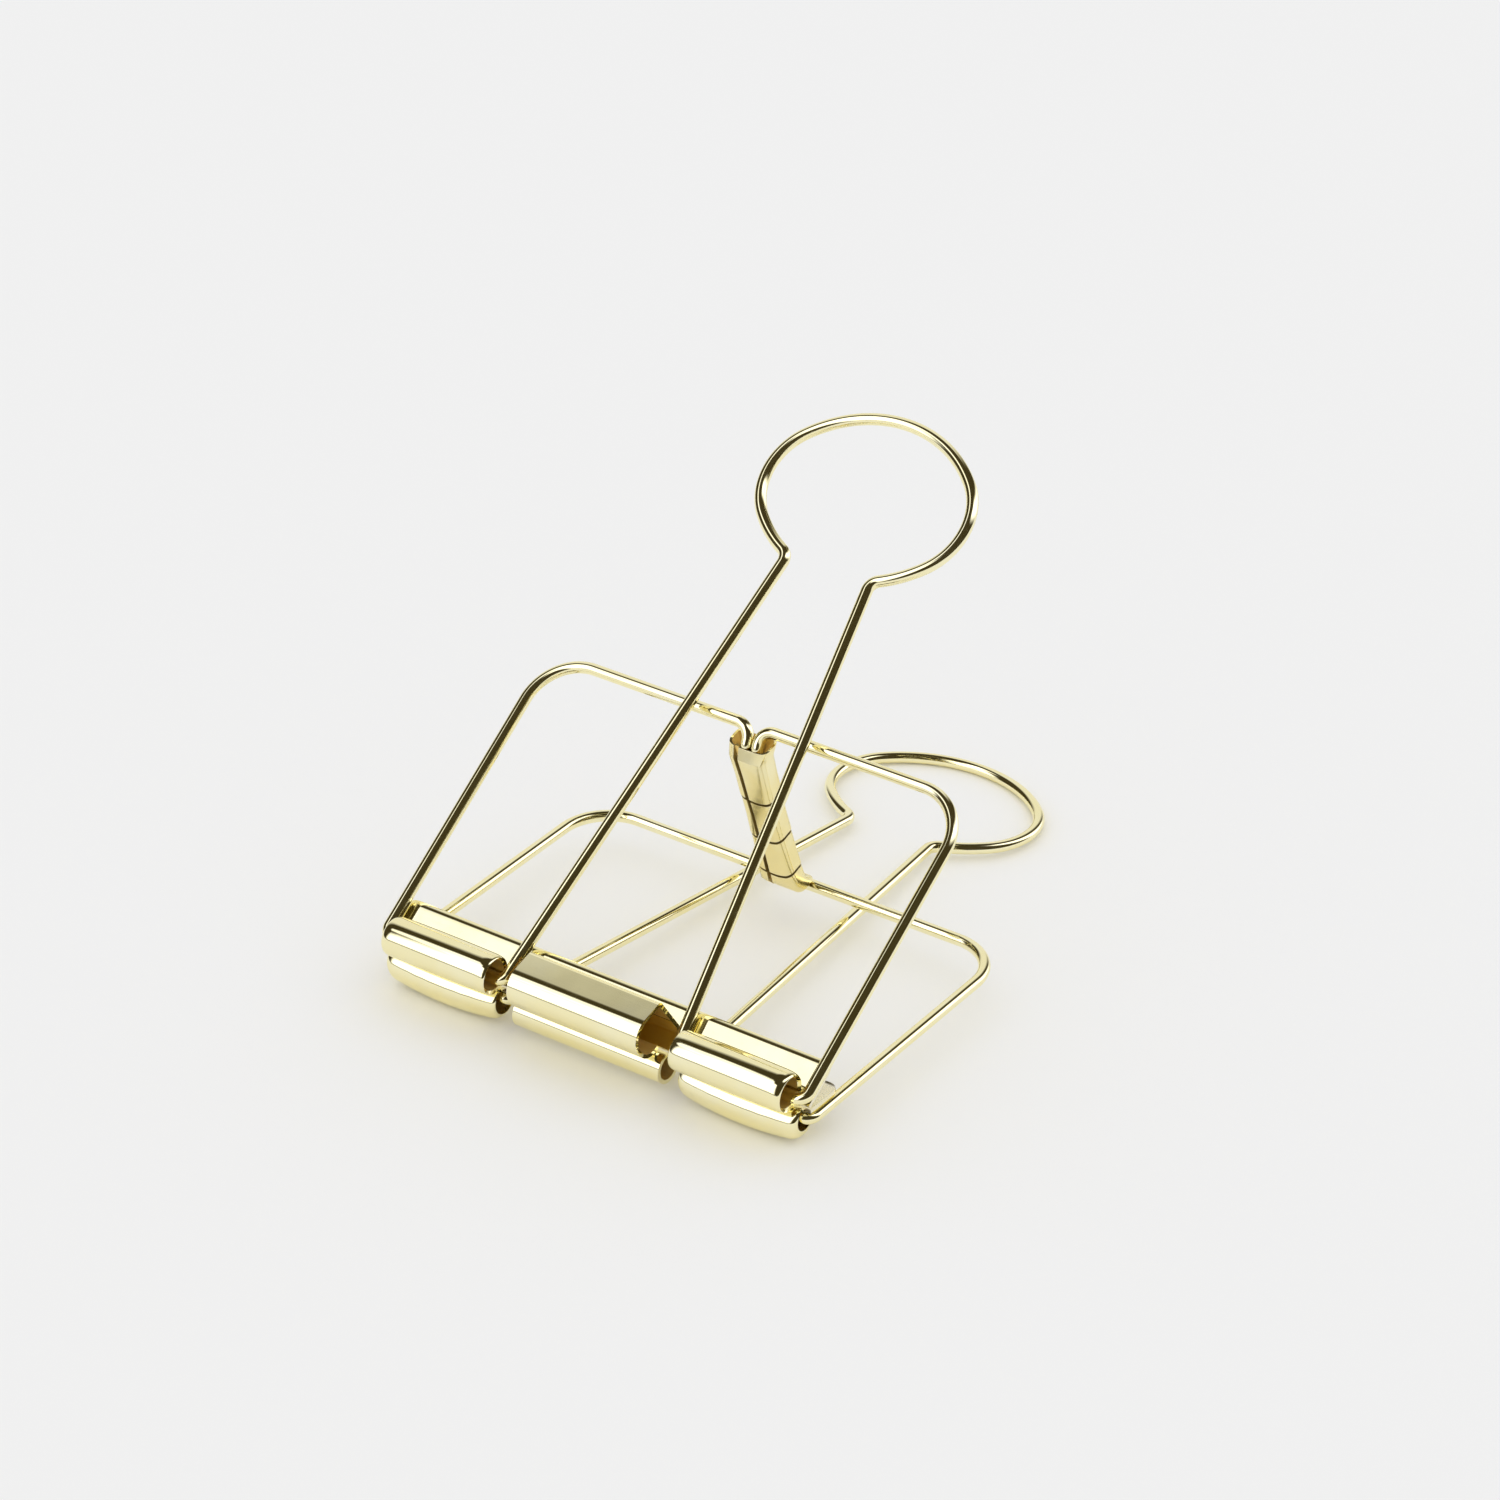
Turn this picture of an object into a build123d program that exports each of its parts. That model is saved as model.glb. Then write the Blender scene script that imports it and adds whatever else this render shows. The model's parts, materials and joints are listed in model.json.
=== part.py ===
from build123d import *
from math import asin, atan2, cos, degrees, hypot, radians, sin
import os

# A wire binder clip.  Two spring wires make an upper and a lower frame that share one spine, and a
# folded clasp ties them together there.  A rolled sheet jaw closes the front of each frame, and a
# keyhole handle of the same wire pivots in each jaw.  All sizes are in millimetres and degrees.
#
# The clip is drawn closed about its mid-plane: X runs along the jaws, Y from the lips to the spine
# and Z from the lower half to the upper half.  One half is drawn flat, as "across" (X), "along" (Y,
# from the pivot to the spine) and "out" (Z, away from the mid-plane), then tilted to its slope.
# Last, the whole clip is laid on the surface that it rests on.

# ---- wire ----
wire_diameter = 1.2
wire_radius = wire_diameter / 2

# ---- frames ----
arm_spacing = 49.5              # between the centre lines of a frame's two arms
arm_depth = 32.8                # from the pivot line to the centre of the back bar
frame_corner_radius = 5.3       # where an arm turns into the back bar
arm_end_bend_radius = 1.0       # where an arm turns into the jaw
arm_end_length = 5.8            # straight end of the wire inside the jaw
half_angle = 16.6               # slope of a frame to the mid-plane

# ---- spine ----
spine_wire_gap = 0.1            # between the two wires where they run side by side
spine_bend_radius = 1.5         # where a back bar turns into the spine
spine_inset = 1.6               # how far the spine stands in from the back bars, towards the lips
spine_inset_height = 1.8        # height over which each wire leans in
spine_lean_radius = 1.6
torsion_joint_offset = 3.4      # from the clip's centre to the start of the twisting back bar

# ---- clasp ----
clasp_clearance = 0.05          # between the clasp and the wires it holds
clasp_mouth_clearance = 0.15    # the same in the collars, where the wires turn outwards
clasp_mouth_share = 0.85        # part of the leaning length that has the wider clearance
clasp_front_wall = 0.5          # in front of the wires and behind them
clasp_side_wall = 0.95          # beside the wires, where the folds lie
clasp_band_count = 4
clasp_band_gap = 0.35           # groove between two bands
clasp_groove_depth = 0.3
clasp_flare = 0.15              # how far a band's lower edge stands out
clasp_waist = 0.3               # how far the sleeve is drawn in at half height
clasp_end_margin = 0.2          # between the bands' ends and where the wires lean
clasp_collar_gap = 1.0          # from a back bar's centre line down to the clasp's end
clasp_collar_flare = 0.2        # how far each collar stands out at its end
clasp_corner_radius = 0.6
clasp_seam_width = 0.25
clasp_seam_depth = 0.3

# ---- jaws ----
sheet = 0.4
lip_gap = 0.1                   # between the closed jaws
roll_radius = 2.05              # outside of the rolled ends
seat_clearance = 0.25           # between the wires' ends and the inside of the roll
arm_clearance = 0.1             # between the lower rolled ends and the arms beside them
upper_arm_clearance = 0.9       # the same in the upper jaw, where the bends of the arms show
flange_length = 4.6             # from the pivot line to the flange's free edge
flange_overhang = 0.15          # from an arm's centre line to the flange's end
flange_corner_radius = 0.9
edge_gap = 0.08                 # between a roll's free edge and the flange
lower_middle_radius = 1.65      # outside of the tighter roll in the middle of the lower jaw
middle_rise = 0.6               # how much taller the middle of the upper jaw's roll is
middle_top_length = 3.1         # from the pivot line to the back of the raised middle
middle_top_fall = 18.0          # slope of the raised middle's top, down towards its back
middle_corner_radius = 0.65
slot_inner_clearance = 0.98     # beside a leg, towards the middle, where the legs close in
raised_middle_clearance = 2.0   # the same beside the raised middle of the upper jaw
slot_outer_clearance = 0.2      # beside a leg, towards the rolled end

# ---- handles ----
leg_spacing = 20.4              # between the legs at the pivot line
neck_spacing = 9.7              # between the legs at the neck
loop_half_width = 11.5
loop_half_height = 8.7
loop_side_radius = 6.7
loop_centre = 57.4              # from the pivot line to the middle of the loop
neck_bend_radius = 1.3
leg_end_bend_radius = 0.9
leg_end_length = 5.2            # straight end of a leg inside the jaw
handle_lift = 3.6               # slope of a handle to the frame under it

os.makedirs("parts", exist_ok=True)


# ---- shared helpers ----

roll_offset = roll_radius - sheet - wire_radius - seat_clearance    # pivot line to roll centre

# the rolls meet at the mid-plane, which sets how high each pivot line lies above it
pivot_height = roll_radius + lip_gap / 2 - roll_offset * cos(radians(half_angle))


def rod(path, radius=wire_radius):
    """Round wire whose centre line is the given path."""
    start = Plane(origin=path @ 0, z_dir=path % 0)
    return sweep(start * Circle(radius), path=path)


def upper_half(shape, lift=0.0):
    """Tilt a flat-drawn shape to the upper half's slope, plus a lift of its own about the pivot."""
    return Pos(0, 0, pivot_height) * Rot(half_angle + lift, 0, 0) * shape


def lower_half(shape, lift=0.0):
    """The same in the lower half, which is the upper half's mirror image in the mid-plane."""
    return mirror(upper_half(shape, lift), about=Plane.XY)


def polar(centre, radius, angle):
    """Point on a circle, as along and out."""
    return centre[0] + radius * cos(radians(angle)), centre[1] + radius * sin(radians(angle))


# ---- jaw ----

roll_centre = (0.0, roll_offset)
bore_radius = roll_radius - sheet
flange_inner = roll_offset - roll_radius        # face towards the mid-plane
flange_outer = flange_inner + sheet             # face under the arms
lower_roll_end = arm_spacing / 2 - wire_radius - arm_clearance      # from the clip's centre
upper_roll_end = arm_spacing / 2 - wire_radius - upper_arm_clearance
flange_width = arm_spacing + 2 * flange_overhang
lower_middle_end = leg_spacing / 2 - wire_radius - slot_inner_clearance     # from the clip's centre
raised_middle_end = leg_spacing / 2 - wire_radius - raised_middle_clearance
slot_outer = leg_spacing / 2 + wire_radius + slot_outer_clearance


def jaw_slice(face_edges, start, end):
    """Part of the jaw with one section, between two places along X."""
    # the section is drawn with along on X and out on Y, and stood up across the jaw
    section = make_face(face_edges)
    stand = Plane(origin=(start, 0, 0), x_dir=(0, 1, 0), z_dir=(1, 0, 0))
    return extrude(stand * section, amount=end - start, dir=(1, 0, 0))


def roll_section(radius):
    """A round roll whose free edge comes back down on the flange."""
    centre = (0.0, flange_inner + radius)
    bore = radius - sheet
    free_edge = -degrees(asin((bore - edge_gap) / radius))
    return Curve() + [
        Line((0, flange_inner), (flange_length, flange_inner)),
        Line((flange_length, flange_inner), (flange_length, flange_outer)),
        Line((flange_length, flange_outer), (0, flange_outer)),
        ThreePointArc((0, flange_outer), polar(centre, bore, 160), polar(centre, bore, free_edge)),
        Line(polar(centre, bore, free_edge), polar(centre, radius, free_edge)),
        ThreePointArc(polar(centre, radius, free_edge), polar(centre, radius, 160), (0, flange_inner)),
    ]


def middle_section():
    """The raised middle of the roll: a round front, a flat sloping top and a straight back."""
    raised = (0.0, roll_offset + middle_rise)
    back = middle_top_length
    edge = flange_outer + edge_gap
    bend = middle_corner_radius
    inner_bend = bend - sheet
    fall = radians(middle_top_fall)
    lean = 90 - middle_top_fall     # where the round front turns into the top
    bend_height = raised[1] + (roll_radius - bend - (back - bend) * sin(fall)) / cos(fall)
    bend_centre = (back - bend, bend_height)
    return Curve() + [
        Line((0, flange_inner), (flange_length, flange_inner)),
        Line((flange_length, flange_inner), (flange_length, flange_outer)),
        Line((flange_length, flange_outer), (0, flange_outer)),
        ThreePointArc((0, flange_outer), polar(roll_centre, bore_radius, 225), (-bore_radius, roll_offset)),
        Line((-bore_radius, roll_offset), (-bore_radius, raised[1])),
        ThreePointArc((-bore_radius, raised[1]), polar(raised, bore_radius, 135),
                      polar(raised, bore_radius, lean)),
        Line(polar(raised, bore_radius, lean), polar(bend_centre, inner_bend, lean)),
        ThreePointArc(polar(bend_centre, inner_bend, lean), polar(bend_centre, inner_bend, lean / 2),
                      (back - sheet, bend_height)),
        Line((back - sheet, bend_height), (back - sheet, edge)),
        Line((back - sheet, edge), (back, edge)),
        Line((back, edge), (back, bend_height)),
        ThreePointArc((back, bend_height), polar(bend_centre, bend, lean / 2),
                      polar(bend_centre, bend, lean)),
        Line(polar(bend_centre, bend, lean), polar(raised, roll_radius, lean)),
        ThreePointArc(polar(raised, roll_radius, lean), polar(raised, roll_radius, 135),
                      (-roll_radius, raised[1])),
        Line((-roll_radius, raised[1]), (-roll_radius, roll_offset)),
        ThreePointArc((-roll_radius, roll_offset), polar(roll_centre, roll_radius, 225), (0, flange_inner)),
    ]


def jaw(middle_edges, middle_end, roll_end):
    """One rolled jaw: two round ends, a middle of its own, and two slots for the handle's legs."""
    flange = Pos(0, flange_length / 2, (flange_inner + flange_outer) / 2) * Box(
        flange_width, flange_length, sheet)
    free_corners = flange.edges().filter_by(Axis.Z).sort_by(Axis.Y)[-2:]
    flange = fillet(free_corners, flange_corner_radius)
    left_roll = jaw_slice(roll_section(roll_radius), -roll_end, -slot_outer)
    right_roll = jaw_slice(roll_section(roll_radius), slot_outer, roll_end)
    middle = jaw_slice(middle_edges, -middle_end, middle_end)
    return flange + left_roll + right_roll + middle


# ---- spring wires ----

spine_wire_offset = (wire_diameter + spine_wire_gap) / 2
bar_height = pivot_height + arm_depth * sin(radians(half_angle))
bar_depth = arm_depth * cos(radians(half_angle))
spine_depth = bar_depth - spine_inset
straight_height = bar_height - spine_inset_height


def frame_wire(side):
    """One arm of a frame with its end in the jaw and its length of back bar, drawn flat."""
    arm = side * arm_spacing / 2
    tip = arm - side * (arm_end_bend_radius + arm_end_length)
    path = FilletPolyline(
        (tip, 0, 0), (arm, 0, 0), (arm, arm_depth, 0), (side * torsion_joint_offset, arm_depth, 0),
        radius=[arm_end_bend_radius, frame_corner_radius])
    return rod(path)


def spine_wire(side):
    """The middle of a spring wire: from the upper back bar, down the spine, to the lower one."""
    bar_end = side * torsion_joint_offset
    line = side * spine_wire_offset
    path = FilletPolyline(
        (bar_end, bar_depth, bar_height), (line, bar_depth, bar_height),
        (line, spine_depth, straight_height), (line, spine_depth, -straight_height),
        (line, bar_depth, -bar_height), (bar_end, bar_depth, -bar_height),
        radius=[spine_bend_radius, spine_lean_radius, spine_lean_radius, spine_bend_radius])
    return rod(path)


# ---- clasp ----

def clasp_hole(width, depth):
    """The space for both wires, side by side, as it follows their line from bar to bar."""
    line = FilletPolyline(
        (0, bar_depth, bar_height), (0, spine_depth, straight_height),
        (0, spine_depth, -straight_height), (0, bar_depth, -bar_height), radius=spine_lean_radius)
    start = Plane(origin=line @ 0, x_dir=(1, 0, 0), z_dir=line % 0)
    hole = sweep(start * SlotOverall(width, depth), path=line)
    for side in (-1, 1):
        across = side * spine_wire_offset
        mouth = rod(FilletPolyline(
            (side * torsion_joint_offset, bar_depth, bar_height), (across, bar_depth, bar_height),
            (across, bar_depth - clasp_mouth_share * spine_inset,
             bar_height - clasp_mouth_share * spine_inset_height),
            radius=spine_bend_radius), wire_radius + clasp_mouth_clearance)
        hole = hole + mouth + mirror(mouth, about=Plane.XY)
    return hole


def clasp_collar(height, width, depth):
    """The sleeve's flared end, which leans with the wires up to the back bars."""
    end = bar_height - clasp_collar_gap
    lean = (end - straight_height) * spine_inset / spine_inset_height
    flare = 2 * clasp_collar_flare
    return loft([
        Pos(0, spine_depth, height) * RectangleRounded(width, depth, clasp_corner_radius),
        Pos(0, spine_depth + lean, end) * RectangleRounded(width + flare, depth + flare,
                                                           clasp_corner_radius),
    ])


def clasp():
    """Folded sleeve around both wires: pressed bands, a collar at each end, a seam down its front."""
    half_height = straight_height - clasp_end_margin
    band_pitch = 2 * half_height / clasp_band_count
    inside_depth = wire_diameter + 2 * clasp_clearance
    inside_width = 2 * spine_wire_offset + inside_depth
    clasp_width = inside_width + 2 * clasp_side_wall
    clasp_depth = inside_depth + 2 * clasp_front_wall
    groove = 2 * clasp_groove_depth
    waist = 2 * clasp_waist
    sleeve = extrude(
        RectangleRounded(clasp_width - waist - groove, clasp_depth - groove, clasp_corner_radius),
        amount=half_height - clasp_band_gap, both=True)
    for band in range(clasp_band_count):
        low = -half_height + band * band_pitch
        high = low + band_pitch - clasp_band_gap
        sections = []
        for level, flare in ((low, 2 * clasp_flare), (high, 0.0)):
            drawn_in = waist * (1 - (level / half_height) ** 2)
            outline = RectangleRounded(
                clasp_width + flare - drawn_in, clasp_depth + flare, clasp_corner_radius)
            sections.append(Pos(0, 0, level) * outline)
        sleeve = sleeve + loft(sections)
    seam = Pos(-spine_wire_offset, -clasp_depth / 2, 0) * Box(
        clasp_seam_width, 2 * clasp_seam_depth, 2 * half_height)
    collar = clasp_collar(half_height - clasp_band_gap, clasp_width, clasp_depth)
    outside = Pos(0, spine_depth, 0) * (sleeve - seam) + collar + mirror(collar, about=Plane.XY)
    return outside - clasp_hole(inside_width, inside_depth)


# ---- handle ----

def handle():
    """Keyhole handle, drawn flat: legs from the jaw to the neck, and an oval loop."""
    crown_radius = ((loop_half_width - loop_side_radius) ** 2 + loop_half_height ** 2
                    - loop_side_radius ** 2) / (2 * (loop_half_height - loop_side_radius))
    side_centre = (loop_half_width - loop_side_radius, loop_centre)
    crown_drop = crown_radius - loop_half_height
    turn = degrees(atan2(crown_drop, side_centre[0]))      # where a side arc meets a crown arc
    neck = neck_spacing / 2
    neck_angle = degrees(asin(neck / crown_radius))
    upper_centre = (0.0, loop_centre - crown_drop)
    lower_centre = (0.0, loop_centre + crown_drop)
    neck_point = (neck, lower_centre[1] - crown_radius * cos(radians(neck_angle)))
    join_low = polar(side_centre, loop_side_radius, -turn)
    join_high = polar(side_centre, loop_side_radius, turn)
    bottom_middle = polar(lower_centre, crown_radius, -90 + (neck_angle + 90 - turn) / 2)
    leg = leg_spacing / 2
    tip = leg + leg_end_bend_radius + leg_end_length

    def mirrored(point):
        return -point[0], point[1]

    path = Curve() + [
        Line((tip, 0), (leg, 0)),
        Line((leg, 0), neck_point),
        ThreePointArc(neck_point, bottom_middle, join_low),
        ThreePointArc(join_low, (loop_half_width, loop_centre), join_high),
        ThreePointArc(join_high, (0, loop_centre + loop_half_height), mirrored(join_high)),
        ThreePointArc(mirrored(join_high), (-loop_half_width, loop_centre), mirrored(join_low)),
        ThreePointArc(mirrored(join_low), mirrored(bottom_middle), mirrored(neck_point)),
        Line(mirrored(neck_point), (-leg, 0)),
        Line((-leg, 0), (-tip, 0)),
    ]
    line = Wire(path.edges())
    necks = [v for v in line.vertices() if abs(v.Y - neck_point[1]) < 0.01]
    line = line.fillet_2d(neck_bend_radius, necks)
    feet = [v for v in line.vertices() if abs(v.Y) < 0.01 and abs(abs(v.X) - leg) < 0.01]
    line = line.fillet_2d(leg_end_bend_radius, feet)
    return rod(line)


# ---- the closed clip ----

upper_jaw = upper_half(jaw(middle_section(), raised_middle_end, upper_roll_end))
lower_jaw = lower_half(jaw(roll_section(lower_middle_radius), lower_middle_end, lower_roll_end))

pieces = {
    "upper_jaw": upper_jaw,
    "lower_jaw": lower_jaw,
    "upper_handle": upper_half(handle(), handle_lift),
    "lower_handle": lower_half(handle(), handle_lift),
    "left_wire_upper_arm": upper_half(frame_wire(-1)),
    "left_wire_spine": spine_wire(-1),
    "left_wire_lower_arm": lower_half(frame_wire(-1)),
    "right_wire_upper_arm": upper_half(frame_wire(1)),
    "right_wire_spine": spine_wire(1),
    "right_wire_lower_arm": lower_half(frame_wire(1)),
    "spine_clasp": clasp(),
}

# ---- lay the clip down ----
# It rests on the rolled ends of the lower jaw and on the end of the lower handle's loop.  Both are
# round in section, so a line under two circles gives the tilt.


def in_clip(along, out, slope):
    """Y and Z in the closed clip of a place in the lower half."""
    y = along * cos(radians(slope)) - out * sin(radians(slope))
    z = -(pivot_height + along * sin(radians(slope)) + out * cos(radians(slope)))
    return y, z


jaw_foot = in_clip(0, roll_offset, half_angle)
loop_foot = in_clip(loop_centre + loop_half_height, 0, half_angle + handle_lift)
foot_span = hypot(loop_foot[0] - jaw_foot[0], loop_foot[1] - jaw_foot[1])
rest_tilt = degrees(atan2(jaw_foot[1] - loop_foot[1], loop_foot[0] - jaw_foot[0])
                    + asin((wire_radius - roll_radius) / foot_span))
tilted = Rot(rest_tilt, 0, 0)
laid = [tilted * piece for piece in pieces.values()]
box = Compound(children=laid).bounding_box()
placing = Pos(0, -(box.min.Y + box.max.Y) / 2, -box.min.Z) * tilted

for name, piece in pieces.items():
    export_step(placing * piece, "parts/" + name + ".step")


def laid_point(y, z):
    """Y and Z of a place in the closed clip once it is laid down."""
    point = placing * Pos(0, y, z)
    return round(point.position.Y, 4), round(point.position.Z, 4)


print("tilt", round(rest_tilt, 3))
print("pivot upper", laid_point(0, pivot_height), "lower", laid_point(0, -pivot_height))
print("bar upper", laid_point(bar_depth, bar_height), "lower", laid_point(bar_depth, -bar_height))
print("lips", laid_point(0, 0))
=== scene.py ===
"""Binder clip of sprung gold wire: looks, floor, light and camera.

Sizes are in millimetres, as in the part's source, and turned into metres as each mesh is made.
"""
import json
from math import asin, atan2, ceil, cos, degrees, radians, sin, sqrt, tan

import bmesh
import bpy
from mathutils import Matrix, Vector


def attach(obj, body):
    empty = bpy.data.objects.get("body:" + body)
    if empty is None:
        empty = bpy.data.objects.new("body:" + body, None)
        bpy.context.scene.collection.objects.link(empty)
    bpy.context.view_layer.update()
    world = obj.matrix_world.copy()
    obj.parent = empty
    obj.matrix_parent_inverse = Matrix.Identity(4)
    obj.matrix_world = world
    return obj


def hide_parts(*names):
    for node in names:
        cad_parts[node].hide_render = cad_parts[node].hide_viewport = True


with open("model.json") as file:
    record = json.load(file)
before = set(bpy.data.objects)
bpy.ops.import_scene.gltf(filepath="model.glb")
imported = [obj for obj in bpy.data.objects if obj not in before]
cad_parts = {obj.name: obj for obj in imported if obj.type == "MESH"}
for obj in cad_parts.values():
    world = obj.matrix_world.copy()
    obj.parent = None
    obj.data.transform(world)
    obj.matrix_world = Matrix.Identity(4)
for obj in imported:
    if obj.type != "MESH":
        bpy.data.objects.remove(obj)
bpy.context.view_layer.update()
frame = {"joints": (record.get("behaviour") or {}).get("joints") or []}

MM = 0.001

# ---- sizes ----

same_place = 0.001              # points of a path nearer than this are one

wire_radius = 0.6
wire_sides = 32
arm_spacing = 49.5
arm_depth = 32.8
frame_corner_radius = 5.3
arm_end_bend_radius = 1.0
arm_end_length = 5.8
torsion_joint_offset = 3.4      # from the middle to where a back bar is cut for its hinge

spine_wire_gap = 0.1
spine_bend_radius = 1.5
spine_inset = 1.6               # how far the wires lean in from the back bars' line
spine_inset_height = 1.8        # and over what height they do so
spine_lean_radius = 1.6

sheet = 0.4
sheet_edge_round = 0.07
roll_radius = 2.05
roll_offset = 0.8
upper_roll_end = 23.25
upper_roll_crown = 0.05         # how much slimmer a rolled end is at its ends than in its middle
upper_roll_rounding = 0.14      # and how much further its outermost edge is drawn in
lower_roll_end = 24.05
lower_roll_crown = 0.3
lower_roll_rounding = 0.42
flange_length = 4.6
flange_width = 49.8
flange_corner_radius = 0.9
edge_gap = 0.08
lower_middle_radius = 1.65
middle_rise = 0.6
middle_top_length = 3.1
middle_corner_radius = 0.65
middle_top_fall = 18.0          # slope of the raised middle's top, in degrees, down to its back
raised_middle_end = 7.6
lower_middle_end = 8.62
slot_outer = 11.0
shoulder_length = 0.9           # rounded end of a roll
inner_rounding_share = 0.5      # how round the end beside a slot is, against the outer end
flange_curl_length = 0.55       # the flange's free edge is rolled over a little
flange_curl_angle = 32.0

leg_spacing = 20.4
neck_spacing = 9.7
loop_half_width = 11.5
loop_half_height = 8.7
loop_side_radius = 6.7
loop_centre = 57.4
neck_bend_radius = 1.3
leg_end_bend_radius = 0.9
leg_end_length = 5.2
handle_lift = 3.6               # between a handle and its frame, in degrees

clasp_half_width = 2.25
clasp_half_depth = 1.15
clasp_waist = 0.3               # how far the sleeve is drawn in at half height
clasp_collar_gap = 1.0          # from a back bar's centre line to the clasp's end
clasp_collar_length = 1.1
clasp_collar_flare = 0.1
clasp_band_ends = (6.2, 11.5, 16.3)     # lower edges of the bands, from the clasp's top
clasp_band_flare = 0.04         # how far a band's lower edge stands out
clasp_groove_width = 0.36       # groove under a band
clasp_groove_depth = 0.42
clasp_band_sag = 0.6            # how much lower a band's edge is in the middle than at the sides
clasp_top_sag = 0.35            # the same at the top end
clasp_collar_sag = 0.2          # under the upper collar
clasp_low_sag = 0.1             # and above the lower one
clasp_corner_radius = 0.7
clasp_corner_share = 0.9        # a corner's radius is at most this share of the half depth
clasp_edge_round = 0.05
clasp_seam_place = -0.95
clasp_seam_slant = 0.25         # how far the seam leans from its middle to either end
clasp_seam_width = 0.5
clasp_seam_depth = 0.4
clasp_hole_half_width = 1.32
clasp_hole_half_depth = 0.72
clasp_mouth_half_depth = 0.95
clasp_mouth_slope = 0.6         # length over which a mouth narrows to the bore
clasp_lip_width = 0.15          # wall left at the ends, across
clasp_lip_depth = 0.1           # and front to back


# ---- where the halves lie ----
# The joints give the pivot lines and the back bars, so the slopes follow from them.

joint_place = {joint["name"]: Vector(joint["pos_m"]) / MM for joint in frame["joints"]}
upper_pivot = joint_place["upper_handle_pivot"]
lower_pivot = joint_place["lower_handle_pivot"]
upper_bar = joint_place["upper_half_opening"]
lower_bar = joint_place["lower_half_opening"]


def slope(start, end):
    """Angle of a line above the floor, seen from the side."""
    return atan2(end.z - start.z, end.y - start.y)


upper_slope = slope(upper_pivot, upper_bar)
lower_slope = slope(lower_pivot, lower_bar)
spine_up = (upper_bar - lower_bar).normalized()
spine_back = Vector((0, spine_up.z, -spine_up.y))


def laid(pivot, angle, outward):
    """Matrix that lays a flat drawing (across, along, out) on one half of the clip."""
    along = Vector((0, cos(angle), sin(angle)))
    out = Vector((0, -sin(angle), cos(angle))) * outward
    turn = Matrix((Vector((1, 0, 0)), along, out)).transposed().to_4x4()
    return Matrix.Translation(pivot) @ turn


upper_plane = laid(upper_pivot, upper_slope, 1)
lower_plane = laid(lower_pivot, lower_slope, -1)
upper_handle_plane = laid(upper_pivot, upper_slope + radians(handle_lift), 1)
lower_handle_plane = laid(lower_pivot, lower_slope - radians(handle_lift), -1)


# ---- node helpers ----

def link(tree, start, end):
    tree.links.new(start, end)


def math_node(tree, operation, *values, clamp=False):
    """A Math node; a value may be a number or another node's output."""
    node = tree.nodes.new("ShaderNodeMath")
    node.operation = operation
    node.use_clamp = clamp
    for place, value in enumerate(values):
        if isinstance(value, (int, float)):
            node.inputs[place].default_value = value
        else:
            link(tree, value, node.inputs[place])
    return node.outputs[0]


def vector_node(tree, operation, *values, scale=None):
    """A Vector Math node; a value may be a vector or another node's output."""
    node = tree.nodes.new("ShaderNodeVectorMath")
    node.operation = operation
    for place, value in enumerate(values):
        if isinstance(value, tuple):
            node.inputs[place].default_value = value
        else:
            link(tree, value, node.inputs[place])
    if scale is not None:
        link(tree, scale, node.inputs["Scale"])
    return node.outputs["Value" if operation == "DOT_PRODUCT" else "Vector"]


def color_mix(tree, factor, first, second):
    """A colour between two; the second may be a colour or another node's output."""
    node = tree.nodes.new("ShaderNodeMix")
    node.data_type = "RGBA"
    link(tree, factor, node.inputs["Factor"])
    link(tree, first, node.inputs["A"])
    if isinstance(second, tuple):
        node.inputs["B"].default_value = second
    else:
        link(tree, second, node.inputs["B"])
    return node.outputs["Result"]


def smooth_between(tree, value, low, high, low_value=0.0, high_value=1.0):
    """A smooth step of a value."""
    node = tree.nodes.new("ShaderNodeMapRange")
    node.interpolation_type = "SMOOTHSTEP"
    link(tree, value, node.inputs["Value"])
    settings = (("From Min", low), ("From Max", high), ("To Min", low_value), ("To Max", high_value))
    for name, setting in settings:
        if isinstance(setting, (int, float)):
            node.inputs[name].default_value = setting
        else:
            link(tree, setting, node.inputs[name])
    return node.outputs["Result"]


def new_group(name, kind, inputs, outputs):
    """A node group with named inputs and outputs, and its two end nodes."""
    tree = bpy.data.node_groups.new(name, kind)
    for label, socket, value in inputs:
        made = tree.interface.new_socket(label, in_out="INPUT", socket_type=socket)
        if value is not None:
            made.default_value = value
    for label, socket in outputs:
        tree.interface.new_socket(label, in_out="OUTPUT", socket_type=socket)
    return tree, tree.nodes.new("NodeGroupInput"), tree.nodes.new("NodeGroupOutput")


def use_group(tree, group, **values):
    node = tree.nodes.new("ShaderNodeGroup")
    node.node_tree = group
    for name, value in values.items():
        socket = node.inputs[name.replace("_", " ")]
        if isinstance(value, bpy.types.NodeSocket):
            link(tree, value, socket)
        else:
            socket.default_value = value
    return node


def noise(tree, vector, scale, detail=2.0, roughness=0.5):
    node = tree.nodes.new("ShaderNodeTexNoise")
    node.inputs["Detail"].default_value = detail
    node.inputs["Roughness"].default_value = roughness
    link(tree, vector, node.inputs["Vector"])
    if isinstance(scale, (int, float)):
        node.inputs["Scale"].default_value = scale
    else:
        link(tree, scale, node.inputs["Scale"])
    return node.outputs["Fac"]


# ---- finishes ----

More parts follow.
